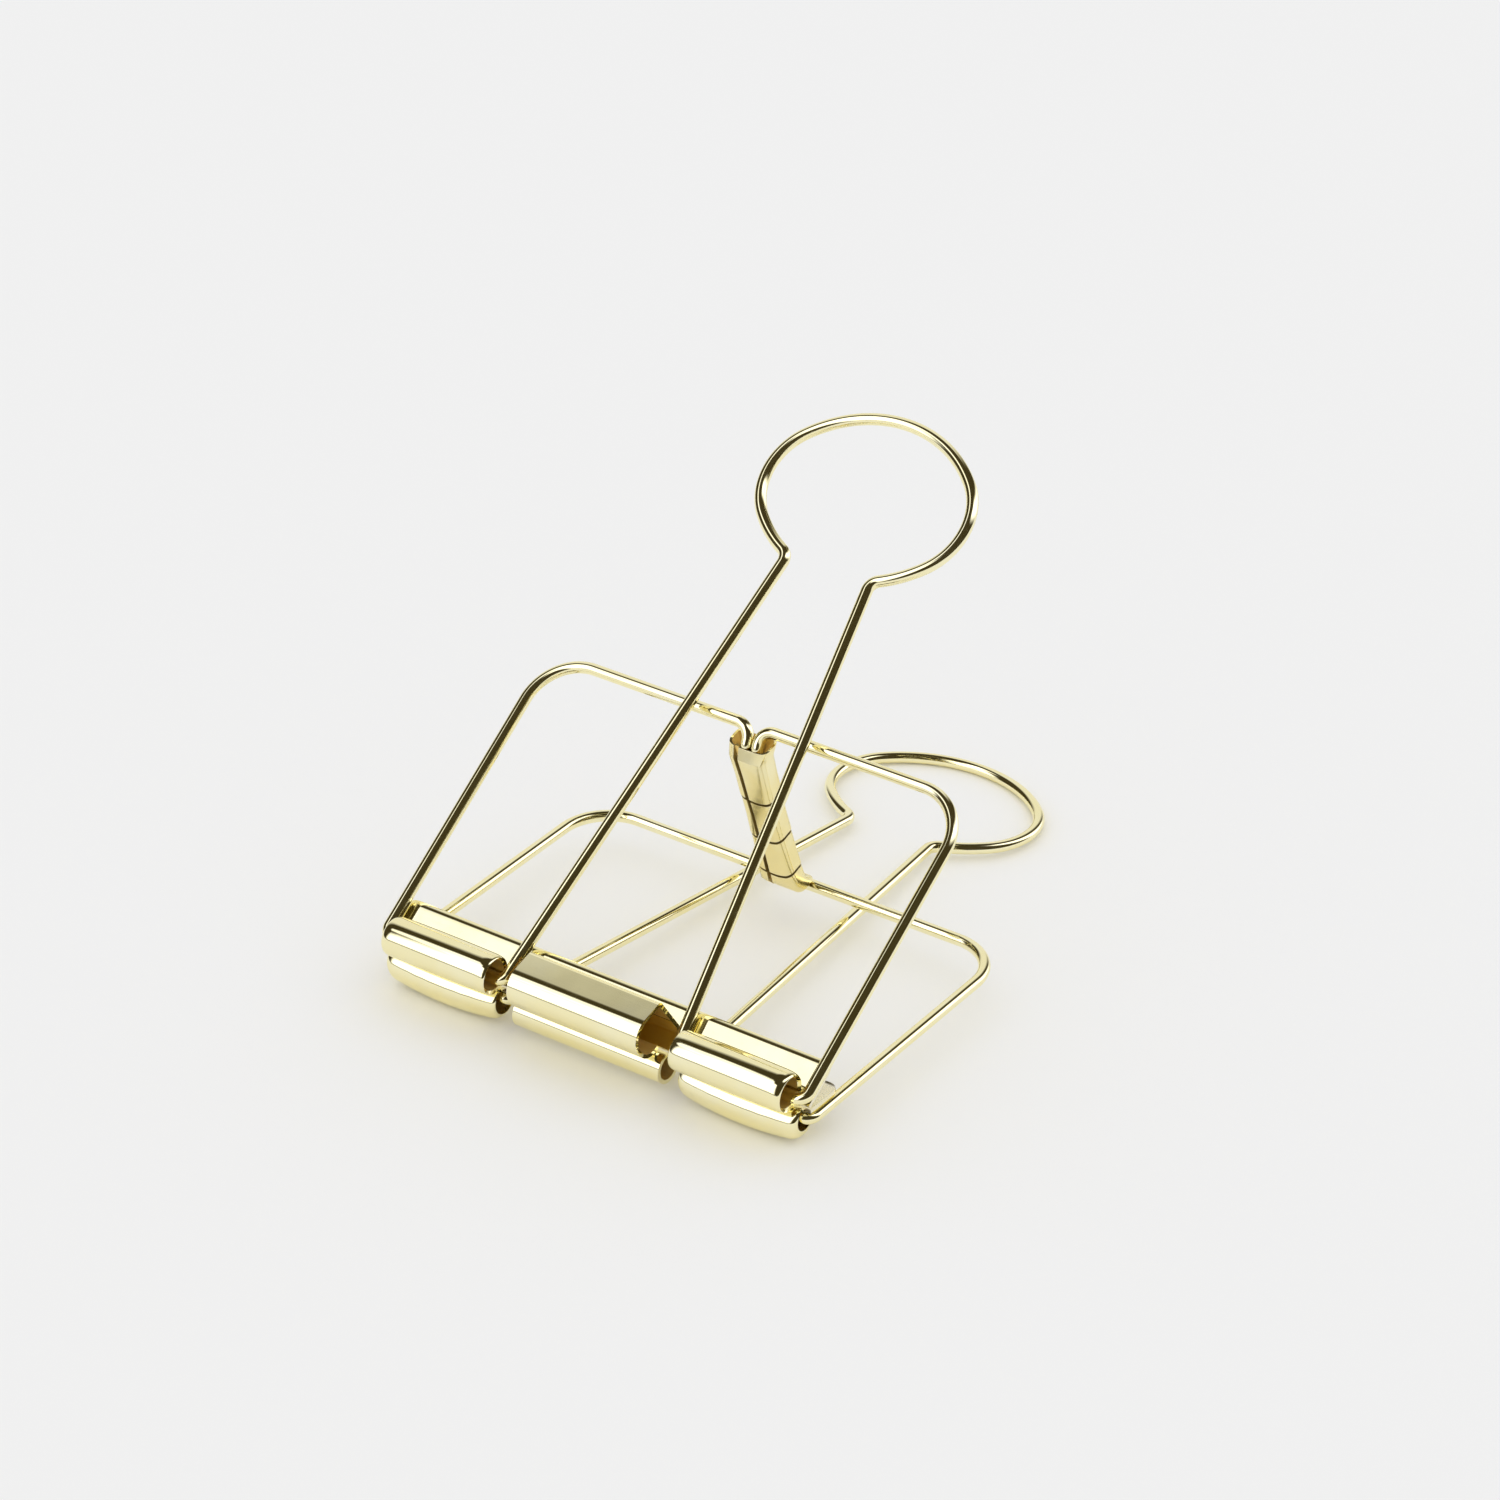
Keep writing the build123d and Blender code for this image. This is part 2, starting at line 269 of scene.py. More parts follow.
def plating_group():
    """Plated surface: cloudy tone, a faint haze, and the slight ripple of polished metal."""
    inputs = [
        ("Vector", "NodeSocketVector", None),
        ("Plating", "NodeSocketColor", (0.98, 0.9, 0.55, 1.0)),
        ("Thin Plating", "NodeSocketColor", (0.99, 0.94, 0.66, 1.0)),
        ("Cloud Scale", "NodeSocketFloat", 160.0),
        ("Haze Scale", "NodeSocketFloat", 900.0),
        ("Ripple Scale", "NodeSocketFloat", 260.0),
        ("Polish", "NodeSocketFloat", 0.06),
        ("Haze", "NodeSocketFloat", 0.06),
    ]
    outputs = [("Color", "NodeSocketColor"), ("Roughness", "NodeSocketFloat"),
               ("Height", "NodeSocketFloat")]
    tree, start, end = new_group("Plated finish", "ShaderNodeTree", inputs, outputs)
    place = start.outputs["Vector"]
    cloud = noise(tree, place, start.outputs["Cloud Scale"], 3.0, 0.55)
    thin = smooth_between(tree, cloud, 0.42, 0.68, 0.0, 0.6)
    clouded = color_mix(tree, thin, start.outputs["Plating"], start.outputs["Thin Plating"])
    link(tree, clouded, end.inputs["Color"])
    haze = smooth_between(tree, noise(tree, place, start.outputs["Haze Scale"], 4.0, 0.6), 0.45, 0.8)
    hazed = math_node(tree, "MULTIPLY", haze, start.outputs["Haze"])
    link(tree, math_node(tree, "ADD", hazed, start.outputs["Polish"]), end.inputs["Roughness"])
    link(tree, noise(tree, place, start.outputs["Ripple Scale"], 1.0, 0.4), end.inputs["Height"])
    return tree


def streak_group():
    """Fine marks that run one way, as a drawing die or a roller leaves them."""
    inputs = [
        ("Vector", "NodeSocketVector", None),
        ("Across Scale", "NodeSocketFloat", 9000.0),
        ("Along Scale", "NodeSocketFloat", 250.0),
        ("Direction", "NodeSocketVector", (0.0, 0.0, 1.0)),
    ]
    outputs = [("Mask", "NodeSocketFloat"), ("Height", "NodeSocketFloat")]
    tree, start, end = new_group("Fine streaks", "ShaderNodeTree", inputs, outputs)
    # along the direction the vector is scaled less than across it, so the noise runs in lines
    vector = start.outputs["Vector"]
    direction = start.outputs["Direction"]
    length = vector_node(tree, "DOT_PRODUCT", vector, direction)
    lengthwise = vector_node(tree, "SCALE", direction, scale=length)
    crosswise = vector_node(tree, "SUBTRACT", vector, lengthwise)
    wide = vector_node(tree, "SCALE", crosswise, scale=start.outputs["Across Scale"])
    long = vector_node(tree, "SCALE", lengthwise, scale=start.outputs["Along Scale"])
    lines = noise(tree, vector_node(tree, "ADD", wide, long), 1.0, 2.0, 0.5)
    link(tree, smooth_between(tree, lines, 0.55, 0.75), end.inputs["Mask"])
    link(tree, lines, end.inputs["Height"])
    return tree


def edge_group():
    """Where a sheet's edges are: the normal of a rounded copy leaves the real one there."""
    inputs = [("Width", "NodeSocketFloat", 0.0001), ("Break Up", "NodeSocketFloat", 700.0),
              ("Vector", "NodeSocketVector", None)]
    tree, start, end = new_group("Edge wear", "ShaderNodeTree", inputs, [("Mask", "NodeSocketFloat")])
    bevel = tree.nodes.new("ShaderNodeBevel")
    bevel.samples = 4
    link(tree, start.outputs["Width"], bevel.inputs["Radius"])
    geometry = tree.nodes.new("ShaderNodeNewGeometry")
    agreement = vector_node(tree, "DOT_PRODUCT", bevel.outputs["Normal"], geometry.outputs["Normal"])
    edge = smooth_between(tree, agreement, 0.99, 0.86)
    patches = smooth_between(tree, noise(tree, start.outputs["Vector"], start.outputs["Break Up"], 3.0),
                             0.35, 0.62)
    link(tree, math_node(tree, "MULTIPLY", edge, patches), end.inputs["Mask"])
    return tree


plated = plating_group()
streaks = streak_group()
edge_wear = edge_group()


def new_material(name, color):
    """A metal material with its shader; the finish nodes are added by the caller."""
    material = bpy.data.materials.new(name)
    material.use_nodes = True
    material.diffuse_color = (*color, 1.0)
    material.metallic = 1.0
    tree = material.node_tree
    shader = next(node for node in tree.nodes if node.type == "BSDF_PRINCIPLED")
    shader.inputs["Metallic"].default_value = 1.0
    shader.inputs["Specular Tint"].default_value = (1.0, 0.99, 0.93, 1.0)
    return material, tree, shader


def object_place(tree):
    return tree.nodes.new("ShaderNodeTexCoord").outputs["Object"]


def add_bump(tree, shader, *layers):
    """Bump nodes one on another; each layer is a height and its depth in metres."""
    normal = None
    for height, depth in layers:
        bump = tree.nodes.new("ShaderNodeBump")
        bump.inputs["Distance"].default_value = depth
        bump.inputs["Strength"].default_value = 1.0
        link(tree, height, bump.inputs["Height"])
        if normal is not None:
            link(tree, normal, bump.inputs["Normal"])
        normal = bump.outputs["Normal"]
    link(tree, normal, shader.inputs["Normal"])


def wire_finish(name, plating, polish):
    """Drawn wire, plated: streaks along its length and a faint haze."""
    material, tree, shader = new_material(name, plating)
    finish = use_group(tree, plated, Vector=object_place(tree), Plating=(*plating, 1.0), Polish=polish,
                       Haze=0.05)
    surface = tree.nodes.new("ShaderNodeAttribute")
    surface.attribute_name = "drawn"
    drawn = use_group(tree, streaks, Vector=surface.outputs["Vector"], Across_Scale=5200.0,
                      Along_Scale=130.0)
    link(tree, finish.outputs["Color"], shader.inputs["Base Color"])
    streaked = math_node(tree, "MULTIPLY", drawn.outputs["Mask"], 0.05)
    link(tree, math_node(tree, "ADD", finish.outputs["Roughness"], streaked), shader.inputs["Roughness"])
    add_bump(tree, shader, (finish.outputs["Height"], 0.000012), (drawn.outputs["Height"], 0.0000016))
    return material


def sheet_finish(name, plating, edge_color, polish, ripple):
    """Rolled sheet, plated: faint roller marks, a slight ripple and paler worn edges."""
    material, tree, shader = new_material(name, plating)
    place = object_place(tree)
    finish = use_group(tree, plated, Vector=place, Plating=(*plating, 1.0), Polish=polish, Haze=0.06)
    rolled = use_group(tree, streaks, Vector=place, Across_Scale=3600.0, Along_Scale=160.0,
                       Direction=(1.0, 0.0, 0.0))
    worn = use_group(tree, edge_wear, Vector=place, Width=0.00012)
    color = color_mix(tree, worn.outputs["Mask"], finish.outputs["Color"], (*edge_color, 1.0))
    link(tree, color, shader.inputs["Base Color"])
    marks = math_node(tree, "MULTIPLY", rolled.outputs["Mask"], 0.04)
    rubbed = math_node(tree, "MULTIPLY", worn.outputs["Mask"], 0.1)
    rough = math_node(tree, "ADD", math_node(tree, "ADD", finish.outputs["Roughness"], marks), rubbed)
    link(tree, rough, shader.inputs["Roughness"])
    add_bump(tree, shader, (finish.outputs["Height"], ripple), (rolled.outputs["Height"], 0.0000004))
    return material


gold = (0.985, 0.91, 0.555)
spring_wire_finish = wire_finish("Plated spring wire", gold, 0.07)
handle_wire_finish = wire_finish("Plated handle wire", gold, 0.07)
jaw_finish = sheet_finish("Plated rolled sheet", gold, (0.98, 0.92, 0.72), 0.06, 0.000010)
clasp_finish = sheet_finish("Plated folded sheet", (0.95, 0.83, 0.42), (0.98, 0.92, 0.70), 0.16,
                            0.000030)
mouth_finish = sheet_finish("Plated faces of the mouth", (0.90, 0.85, 0.70), (0.94, 0.90, 0.80), 0.24,
                            0.000010)


def shaded_recess_finish(name, plating, thin):
    """Inside of a roll or a fold: painted shade, a plating colour browner and darker than the gold, on a
    dull, partly metallic surface.
    """
    material, tree, shader = new_material(name, plating)
    finish = use_group(tree, plated, Vector=object_place(tree), Plating=(*plating, 1.0),
                       Thin_Plating=(*thin, 1.0), Polish=0.3, Haze=0.25)
    shader.inputs["Metallic"].default_value = 0.6
    link(tree, finish.outputs["Color"], shader.inputs["Base Color"])
    link(tree, finish.outputs["Roughness"], shader.inputs["Roughness"])
    add_bump(tree, shader, (finish.outputs["Height"], 0.00002))
    return material


# painted shade inside the rolls and the clasp's bore: a browner, darker colour than the gold
shaded_inside_finish = shaded_recess_finish("Painted shade inside the rolls", (0.72, 0.50, 0.14), (0.80, 0.62, 0.26))
# painted shade in the clasp's grooves and seam: darker still, so they show as dark lines
shaded_fold_finish = shaded_recess_finish("Painted shade in the clasp folds", (0.30, 0.22, 0.07), (0.42, 0.32, 0.12))


# ---- wires ----

def bent(points, radii, step=3.0):
    """A path of straight runs with a round bend at each inner corner."""
    points = [Vector(point) for point in points]
    path = [points[0]]
    for before, corner, after, radius in zip(points, points[1:], points[2:], radii):
        come = (corner - before).normalized()
        go = (after - corner).normalized()
        turn = come.angle(go)
        reach = radius * tan(turn / 2)
        centre = corner + (go - come).normalized() * (radius / cos(turn / 2))
        first = corner - come * reach - centre
        normal = come.cross(go).normalized()
        count = max(2, ceil(degrees(turn) / step))
        path += [centre + Matrix.Rotation(turn * i / count, 3, normal) @ first for i in range(count + 1)]
    return path + [points[-1]]


def arc(centre, radius, start, end, step=3.0):
    """Points on a flat arc between two angles in degrees."""
    count = max(2, ceil(abs(end - start) / step))
    angles = [radians(start + (end - start) * i / count) for i in range(count + 1)]
    return [Vector((centre[0] + radius * cos(a), centre[1] + radius * sin(a), 0)) for a in angles]


def handle_path():
    """Half of the keyhole is worked out and mirrored: foot, leg, neck bend, oval loop."""
    side_x = loop_half_width - loop_side_radius
    crown = (side_x ** 2 + loop_half_height ** 2 - loop_side_radius ** 2) / (
        2 * (loop_half_height - loop_side_radius))
    drop = crown - loop_half_height
    turn = degrees(atan2(drop, side_x))
    low_centre = Vector((0, loop_centre + drop, 0))
    neck_x = neck_spacing / 2
    neck = Vector((neck_x, low_centre.y - sqrt(crown ** 2 - neck_x ** 2), 0))
    leg_x = leg_spacing / 2
    leg = (neck - Vector((leg_x, 0, 0))).normalized()
    outward = Vector((leg.y, -leg.x, 0))
    # the neck bend touches the leg's line and the lower crown arc from outside
    base = Vector((leg_x, 0, 0)) + outward * neck_bend_radius - low_centre
    reach = crown + neck_bend_radius
    middle = base.dot(leg)
    along = -middle - sqrt(middle ** 2 - base.dot(base) + reach ** 2)
    options = [along, -middle + sqrt(middle ** 2 - base.dot(base) + reach ** 2)]
    along = min(options, key=lambda t: abs((base + low_centre + leg * t - neck).length))
    bend_centre = base + low_centre + leg * along
    on_leg = -outward
    on_crown = (low_centre - bend_centre).normalized()
    start = degrees(atan2(on_leg.y, on_leg.x))
    end = degrees(atan2(on_crown.y, on_crown.x))
    while end > start:
        end -= 360
    foot = bent([(leg_x + leg_end_bend_radius + leg_end_length, 0, 0), (leg_x, 0, 0),
                 tuple(bend_centre - outward * neck_bend_radius)], [leg_end_bend_radius])
    bend = arc(bend_centre, neck_bend_radius, start, end, 6.0)
    touch = degrees(atan2(-on_crown.y, -on_crown.x))
    low = arc(low_centre, crown, touch, -turn, 2.0)
    side = arc((side_x, loop_centre), loop_side_radius, -turn, turn, 3.0)
    top = arc((0, loop_centre - drop), crown, turn, 90.0, 2.0)
    half = foot + bend[1:] + low[1:] + side[1:] + top[1:]
    other = [Vector((-point.x, point.y, 0)) for point in reversed(half[:-1])]
    return half + other


def rod_tree():
    """Geometry Nodes tree: a round rod along a path, with closed ends."""
    inputs = [("Path", "NodeSocketGeometry", None), ("Radius", "NodeSocketFloat", wire_radius * MM),
              ("Sides", "NodeSocketInt", wire_sides), ("Finish", "NodeSocketMaterial", None)]
    tree, start, end = new_group("Round rod", "GeometryNodeTree", inputs,
                                 [("Geometry", "NodeSocketGeometry")])
    path = tree.nodes.new("GeometryNodeMeshToCurve")
    link(tree, start.outputs["Path"], path.inputs["Mesh"])
    ring = tree.nodes.new("GeometryNodeCurvePrimitiveCircle")
    link(tree, start.outputs["Sides"], ring.inputs["Resolution"])
    link(tree, start.outputs["Radius"], ring.inputs["Radius"])
    along = tree.nodes.new("GeometryNodeCaptureAttribute")
    along.capture_items.new("FLOAT", "Length")
    link(tree, path.outputs["Curve"], along.inputs["Geometry"])
    run = tree.nodes.new("GeometryNodeSplineParameter")
    link(tree, run.outputs["Length"], along.inputs["Length"])
    around = tree.nodes.new("GeometryNodeCaptureAttribute")
    around.capture_items.new("VECTOR", "Place")
    link(tree, ring.outputs["Curve"], around.inputs["Geometry"])
    place = tree.nodes.new("GeometryNodeInputPosition")
    link(tree, place.outputs["Position"], around.inputs["Place"])
    rod = tree.nodes.new("GeometryNodeCurveToMesh")
    rod.inputs["Fill Caps"].default_value = True
    link(tree, along.outputs["Geometry"], rod.inputs["Curve"])
    link(tree, around.outputs["Geometry"], rod.inputs["Profile Curve"])
    split = tree.nodes.new("ShaderNodeSeparateXYZ")
    link(tree, around.outputs["Place"], split.inputs["Vector"])
    join = tree.nodes.new("ShaderNodeCombineXYZ")
    link(tree, split.outputs["X"], join.inputs["X"])
    link(tree, split.outputs["Y"], join.inputs["Y"])
    link(tree, along.outputs["Length"], join.inputs["Z"])
    store = tree.nodes.new("GeometryNodeStoreNamedAttribute")
    store.data_type = "FLOAT_VECTOR"
    store.domain = "POINT"
    store.inputs["Name"].default_value = "drawn"
    link(tree, rod.outputs["Mesh"], store.inputs["Geometry"])
    link(tree, join.outputs["Vector"], store.inputs["Value"])
    smooth = tree.nodes.new("GeometryNodeSetShadeSmooth")
    link(tree, store.outputs["Geometry"], smooth.inputs["Geometry"])
    real = tree.nodes.new("GeometryNodeRealizeInstances")
    link(tree, smooth.outputs["Geometry"], real.inputs["Geometry"])
    paint = tree.nodes.new("GeometryNodeSetMaterial")
    link(tree, real.outputs["Geometry"], paint.inputs["Geometry"])
    link(tree, start.outputs["Finish"], paint.inputs["Material"])
    link(tree, paint.outputs["Geometry"], end.inputs["Geometry"])
    return tree


rod_nodes = rod_tree()


def socket_id(tree, name):
    return next(item.identifier for item in tree.interface.items_tree
                if item.name == name and item.in_out == "INPUT")


def finished(mesh_object, name):
    """Evaluate an object's modifiers into a plain mesh of its own."""
    bpy.context.view_layer.update()
    depsgraph = bpy.context.evaluated_depsgraph_get()
    mesh = bpy.data.meshes.new_from_object(mesh_object.evaluated_get(depsgraph))
    mesh.name = name
    bpy.data.objects.remove(mesh_object)
    piece = bpy.data.objects.new(name, mesh)
    bpy.context.scene.collection.objects.link(piece)
    return piece


def draft(name, mesh):
    """An object for a mesh, linked to the scene."""
    made = bpy.data.objects.new(name + "_draft", mesh)
    bpy.context.scene.collection.objects.link(made)
    return made


def linked_mesh(name, vertices, edges, faces):
    mesh = bpy.data.meshes.new(name)
    mesh.from_pydata([tuple(Vector(vertex) * MM) for vertex in vertices], edges, faces)
    return draft(name, mesh)


def wire_piece(name, path, material):
    """A wire that follows a path, made by the rod tree."""
    clean = [path[0]]
    for point in path[1:]:
        if (point - clean[-1]).length > same_place:
            clean.append(point)
    made = linked_mesh(name, clean, [(i, i + 1) for i in range(len(clean) - 1)], [])
    modifier = made.modifiers.new("Rod", "NODES")
    modifier.node_group = rod_nodes
    modifier[socket_id(rod_nodes, "Radius")] = wire_radius * MM
    modifier[socket_id(rod_nodes, "Sides")] = wire_sides
    modifier[socket_id(rod_nodes, "Finish")] = material
    return finished(made, name)


def arm_path(side, plane):
    arm = side * arm_spacing / 2
    tip = arm - side * (arm_end_bend_radius + arm_end_length)
    flat = bent([(tip, 0, 0), (arm, 0, 0), (arm, arm_depth, 0),
                 (side * torsion_joint_offset, arm_depth, 0)],
                [arm_end_bend_radius, frame_corner_radius])
    return [plane @ point for point in flat]


def spine_path(side):
    line = side * (wire_radius + spine_wire_gap / 2)
    bar_end = side * torsion_joint_offset
    inset_upper = upper_bar - spine_up * spine_inset_height - spine_back * spine_inset
    inset_lower = lower_bar + spine_up * spine_inset_height - spine_back * spine_inset

    def at(x, point):
        return Vector((x, point.y, point.z))

    return bent([at(bar_end, upper_bar), at(line, upper_bar), at(line, inset_upper),
                 at(line, inset_lower), at(line, lower_bar), at(bar_end, lower_bar)],
                [spine_bend_radius, spine_lean_radius, spine_lean_radius, spine_bend_radius])


def place_piece(piece, body, slot, *nodes):
    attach(piece, body)
    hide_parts(*nodes)


for side, word in ((-1, "left"), (1, "right")):
    for half, plane in (("upper", upper_plane), ("lower", lower_plane)):
        name = word + "_wire_" + half + "_arm"
        arm = wire_piece(name + "_drawn", arm_path(side, plane), spring_wire_finish)
        place_piece(arm, half + "_half", "spring_wire", name)
    name = word + "_wire_spine"
    spine = wire_piece(name + "_drawn", spine_path(side), spring_wire_finish)
    place_piece(spine, "spine", "spring_wire", name)

for half, plane in (("upper", upper_handle_plane), ("lower", lower_handle_plane)):
    path = [plane @ point for point in handle_path()]
    handle = wire_piece(half + "_handle_drawn", path, handle_wire_finish)
    place_piece(handle, half + "_handle", "handle_wire", half + "_handle")


# ---- jaws ----

flange_middle = roll_offset - roll_radius + sheet / 2       # height of the flange's mid-surface


def round_section(radius, count=58):
    """Mid-surface of a round roll, from the flange round to the free edge, as (along, out)."""
    centre_out = roll_offset - roll_radius + radius
    free_edge = -degrees(asin((radius - sheet - edge_gap) / radius)) - 360
    swept = arc((0, centre_out), radius - sheet / 2, -90, free_edge, (-90 - free_edge) / count)
    return [(point.x, point.y) for point in swept[:count + 1]]


def sheet_draft(name, bm, finishes):
    """An object made from built-up faces, with its finishes in the order of their slots."""
    mesh = bpy.data.meshes.new(name)
    bm.to_mesh(mesh)
    bm.free()
    for finish in finishes:
        mesh.materials.append(finish)
    return draft(name, mesh)


def round_edges(made, width, segments, angle):
    """Round every edge that is sharper than an angle, and keep the flats flat in shading."""
    edges = made.modifiers.new("Edges", "BEVEL")
    edges.width = width * MM
    edges.segments = segments
    edges.limit_method = "ANGLE"
    edges.angle_limit = radians(angle)
    edges.harden_normals = True
    normals = made.modifiers.new("Normals", "WEIGHTED_NORMAL")
    normals.keep_sharp = True


def crowned_roll(inner, outer, crown, rounding, steps=12):
    """Stations across a rolled end with the section at each: a slight barrel with rounded ends."""
    length = abs(outer - inner)
    away = 1 if outer > inner else -1
    gaps = [shoulder_length * (1 - cos(radians(angle))) for angle in range(0, 91, 10)]
    far_end = [length - gap for gap in gaps]
    gaps += [shoulder_length + (length - 2 * shoulder_length) * step / steps for step in range(1, steps)]
    stations = []
    for gap in gaps + far_end:
        bow = (2 * gap / length - 1) ** 2
        short = max(0.0, 1 - gap / shoulder_length)
        short_inside = max(0.0, 1 - (length - gap) / shoulder_length)
        radius = roll_radius - crown * bow - rounding * (1 - sqrt(1 - short ** 2))
        radius -= inner_rounding_share * rounding * (1 - sqrt(1 - short_inside ** 2))
        stations.append((outer - away * gap, round_section(radius)))
    return sorted(stations, key=lambda station: station[0])


def flange_rows(first_row=0.4, steps=8):
    """Rows across the flange, from near the roll to its free edge, as (along, out, half width).

    The free edge is rolled over a little, and its corners are round.
    """
    half = flange_width / 2
    curl_radius = flange_curl_length / radians(flange_curl_angle)
    flat_end = flange_length - curl_radius * sin(radians(flange_curl_angle))
    corner_start = flange_length - flange_corner_radius
    rows = [(flat_end * first_row, 0.0), (corner_start, 0.0)]
    for step in range(steps + 1):
        angle = radians(flange_curl_angle) * step / steps
        rows.append((flat_end + curl_radius * sin(angle), curl_radius * (1 - cos(angle))))
    sized = []
    for along, drop in sorted(rows):
        short = max(0.0, along - corner_start) / flange_corner_radius
        narrowed = flange_corner_radius * (1 - sqrt(max(0.0, 1 - short ** 2)))
        sized.append((along, flange_middle - drop, half - narrowed))
    return sized


def raised_section():
    """Mid-surface of the raised middle: round front, a top that falls backwards, straight back."""
    middle = roll_radius - sheet / 2
    raised = roll_offset + middle_rise
    bend_middle = middle_corner_radius - sheet / 2
    fall = radians(middle_top_fall)
    bend_place = middle_top_length - middle_corner_radius
    reach = roll_radius - middle_corner_radius - bend_place * sin(fall)
    bend_centre = (bend_place, raised + reach / cos(fall))
    front = arc((0, roll_offset), middle, -90, -180, 4.0)
    crown = arc((0, raised), middle, 180, 90 - middle_top_fall, 4.0)
    bend = arc(bend_centre, bend_middle, 90 - middle_top_fall, 0, 9.0)
    foot = Vector((middle_top_length - sheet / 2, roll_offset - roll_radius + sheet + edge_gap, 0))
    return [(point.x, point.y) for point in front + crown + bend + [foot]]


def jaw_piece(name, plane, middle_section, middle_end, roll_end, crown, rounding):
    """Flange, two rolled ends and a middle as one folded sheet, with rounded edges."""
    # a wall's other side takes the next finish: the bores, with painted shade, and the flange's side away
    # from the mouth
    finishes = (jaw_finish, shaded_inside_finish, mouth_finish, jaw_finish)
    roll_slot, flange_slot = 0, 2
    half_flange = flange_width / 2
    bm = bmesh.new()

    def vertex(across, along, out):
        return bm.verts.new(plane @ Vector((across, along, out)) * MM)

    def add_face(corners, slot):
        # the lower jaw's plane is a mirrored one, so its faces run the other way round
        face = bm.faces.new(corners if plane.determinant() < 0 else reversed(corners))
        face.material_index = slot
        face.smooth = True

    rolls = (crowned_roll(-slot_outer, -roll_end, crown, rounding),
             [(-middle_end, middle_section), (middle_end, middle_section)],
             crowned_roll(slot_outer, roll_end, crown, rounding))
    stations = [-half_flange] + [station for roll in rolls for station, _ in roll] + [half_flange]
    root = {station: vertex(station, 0, flange_middle) for station in stations}
    before = [root[station] for station in stations]
    for along, out, half_width in flange_rows():
        # only the outermost stretch is drawn in where the corners are round
        after = []
        for station in stations:
            beyond = max(0.0, abs(station) - slot_outer) / (half_flange - slot_outer)
            drawn_in = (half_flange - half_width) * beyond
            after.append(vertex(station - drawn_in * (1 if station > 0 else -1), along, out))
        for corners in zip(before, before[1:], after[1:], after):
            add_face(corners, flange_slot)
        before = after
    for roll in rolls:
        rows = [[root[station]] + [vertex(station, along, out) for along, out in section[1:]]
                for station, section in roll]
        for row, following in zip(rows, rows[1:]):
            for corners in zip(following, row, row[1:], following[1:]):
                add_face(corners, roll_slot)
    made = sheet_draft(name, bm, finishes)
    thick = made.modifiers.new("Sheet", "SOLIDIFY")
    thick.thickness = sheet * MM
    thick.offset = 0.0
    thick.use_even_offset = True
    thick.material_offset = 1
    round_edges(made, sheet_edge_round, 3, 40)
    return finished(made, name)


upper_jaw = jaw_piece("upper_jaw_rolled", upper_plane, raised_section(), raised_middle_end,
                      upper_roll_end, upper_roll_crown, upper_roll_rounding)
place_piece(upper_jaw, "upper_half", "rolled_sheet", "upper_jaw")
lower_jaw = jaw_piece("lower_jaw_rolled", lower_plane, round_section(lower_middle_radius),
                      lower_middle_end, lower_roll_end, lower_roll_crown, lower_roll_rounding)
place_piece(lower_jaw, "lower_half", "rolled_sheet", "lower_jaw")

# ---- clasp ----

spine_middle = (upper_bar + lower_bar) / 2
half_span = (upper_bar - lower_bar).length / 2
clasp_end = half_span - clasp_collar_gap
seam_points = 4
front_steps = 6                 # from the seam to the front's far corner


def wires_depth(level):
    """How far the wires stand in from the back bars at a level, as they lean in and out."""
    lean = min(1.0, max(0.0, (half_span - abs(level)) / spine_inset_height))
    return -spine_inset * lean


def clasp_ring(level, half_width, half_depth, sag=0.0, seam=0.0):
    """Points round the clasp at one level: rounded corners, and the seam as a notch in the front."""
    corner = min(clasp_corner_radius, clasp_corner_share * half_depth)
    wide = half_width - corner
    deep = half_depth - corner
    points = []
    for x, y, start in ((wide, -deep, -90), (wide, deep, 0), (-wide, deep, 90), (-wide, -deep, 180)):
        points += [(p.x, p.y) for p in arc((x, y), corner, start, start + 90, 15.0)]
        if start == 0:
            # points along the back, between its corners
            points += [(wide * (0.5 - step / 4), half_depth) for step in range(5)]
    sunk = -half_depth + seam
    share = wide / (clasp_half_width - clasp_corner_radius)
    middle = (clasp_seam_place - clasp_seam_slant * level / clasp_end) * share
    half_seam = clasp_seam_width / 2 * share
    points += [(middle - half_seam, -half_depth), (middle - half_seam / 2, sunk),
               (middle + half_seam / 2, sunk), (middle + half_seam, -half_depth)]
    first = middle + half_seam
    points += [(first + (wide - first) * step / front_steps, -half_depth)
               for step in range(1, front_steps)]
    depth = wires_depth(level)
    ring = []
    for x, y in points:
        lowered = level - sag * (1 - (x / half_width) ** 2)
        ring.append(spine_middle + Vector((x, 0, 0)) + spine_back * (depth + y) + spine_up * lowered)
    return ring


def sleeve_width(level):
    """Half width of the sleeve, drawn in at half height."""
    return clasp_half_width - clasp_waist * (1 - (level / clasp_end) ** 2)


